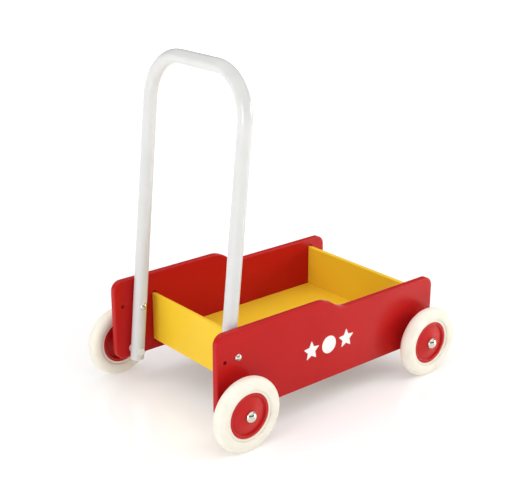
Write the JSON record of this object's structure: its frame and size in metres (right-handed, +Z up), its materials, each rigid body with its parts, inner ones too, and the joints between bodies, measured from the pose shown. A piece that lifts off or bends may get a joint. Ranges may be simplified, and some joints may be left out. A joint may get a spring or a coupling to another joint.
{
  "type": "toddler push wagon",
  "caption": "Wooden toddler's push wagon: open tray between two stepped side panels, rubber-tyred wheels and a bent tube handle that tilts between two bolt holes.",
  "frame": {"origin": "on the floor, midway between the two axles and midway between the sides", "axes": "+X to the front, away from the person who pushes; +Y to the wagon's left; +Z up"},
  "size_m": [0.521, 0.3788, 0.5715],
  "materials": {
    "red_lacquered_wood": "gloss lacquer over a flat board",
    "yellow_lacquered_wood": "satin lacquer over a flat board",
    "bare_wood": "unfinished beech",
    "white_powder_coat": "gloss powder coat on steel tube",
    "white_plastic": "moulded",
    "ivory_rubber": "smooth, slightly waxy solid rubber",
    "red_plastic": "moulded",
    "natural_plastic": "plain bearing plastic",
    "chrome_plate": "polished",
    "zinc_plate": "bright zinc",
    "brass": "turned"
  },
  "bodies": {
    "chassis": {"left_side_panel": "red_lacquered_wood", "right_side_panel": "red_lacquered_wood", "floor_board": "yellow_lacquered_wood", "front_board": "yellow_lacquered_wood", "rear_board": "yellow_lacquered_wood", "front_board_dowels": "bare_wood", "rear_board_dowels": "bare_wood", "front_left_axle_bolt": "chrome_plate", "front_left_outer_washer": "zinc_plate", "front_left_inner_washer": "zinc_plate", "front_right_axle_bolt": "chrome_plate", "front_right_outer_washer": "zinc_plate", "front_right_inner_washer": "zinc_plate", "rear_left_axle_bolt": "chrome_plate", "rear_left_outer_washer": "zinc_plate", "rear_left_inner_washer": "zinc_plate", "rear_right_axle_bolt": "chrome_plate", "rear_right_outer_washer": "zinc_plate", "rear_right_inner_washer": "zinc_plate", "front_left_insert": "brass", "rear_left_spacer": "natural_plastic", "rear_left_lock_nut": "zinc_plate", "front_right_insert": "brass", "rear_right_spacer": "natural_plastic", "rear_right_lock_nut": "zinc_plate"},
    "handle": {"handle_tube": "white_powder_coat", "left_end_plug": "white_plastic", "left_adjusting_bolt": "chrome_plate", "left_sleeve_nut": "chrome_plate", "rear_left_nut_cap": "white_plastic", "right_end_plug": "white_plastic", "right_adjusting_bolt": "chrome_plate", "right_sleeve_nut": "chrome_plate", "rear_right_nut_cap": "white_plastic"},
    "front_left_wheel": {"front_left_tyre": "ivory_rubber", "front_left_hub": "red_plastic", "front_left_bush": "natural_plastic"},
    "front_right_wheel": {"front_right_tyre": "ivory_rubber", "front_right_hub": "red_plastic", "front_right_bush": "natural_plastic"},
    "rear_left_wheel": {"rear_left_tyre": "ivory_rubber", "rear_left_hub": "red_plastic", "rear_left_bush": "natural_plastic"},
    "rear_right_wheel": {"rear_right_tyre": "ivory_rubber", "rear_right_hub": "red_plastic", "rear_right_bush": "natural_plastic"}
  },
  "joints": [
    {"name": "front_left_wheel_spin", "type": "hinge", "parent": "chassis", "child": "front_left_wheel", "pos_m": [0.2, 0.1715, 0.0605], "axis": [0, 1, 0], "continuous": true},
    {"name": "front_right_wheel_spin", "type": "hinge", "parent": "chassis", "child": "front_right_wheel", "pos_m": [0.2, -0.1715, 0.0605], "axis": [0, 1, 0], "continuous": true},
    {"name": "rear_left_wheel_spin", "type": "hinge", "parent": "chassis", "child": "rear_left_wheel", "pos_m": [-0.2, 0.1715, 0.0605], "axis": [0, 1, 0], "continuous": true},
    {"name": "rear_right_wheel_spin", "type": "hinge", "parent": "chassis", "child": "rear_right_wheel", "pos_m": [-0.2, -0.1715, 0.0605], "axis": [0, 1, 0], "continuous": true},
    {"name": "handle_tilt", "type": "hinge", "parent": "chassis", "child": "handle", "pos_m": [-0.2, 0, 0.0605], "axis": [0, -1, 0], "range_deg": [0, 18], "deforming": ["left_adjusting_bolt", "right_adjusting_bolt"]}
  ]
}
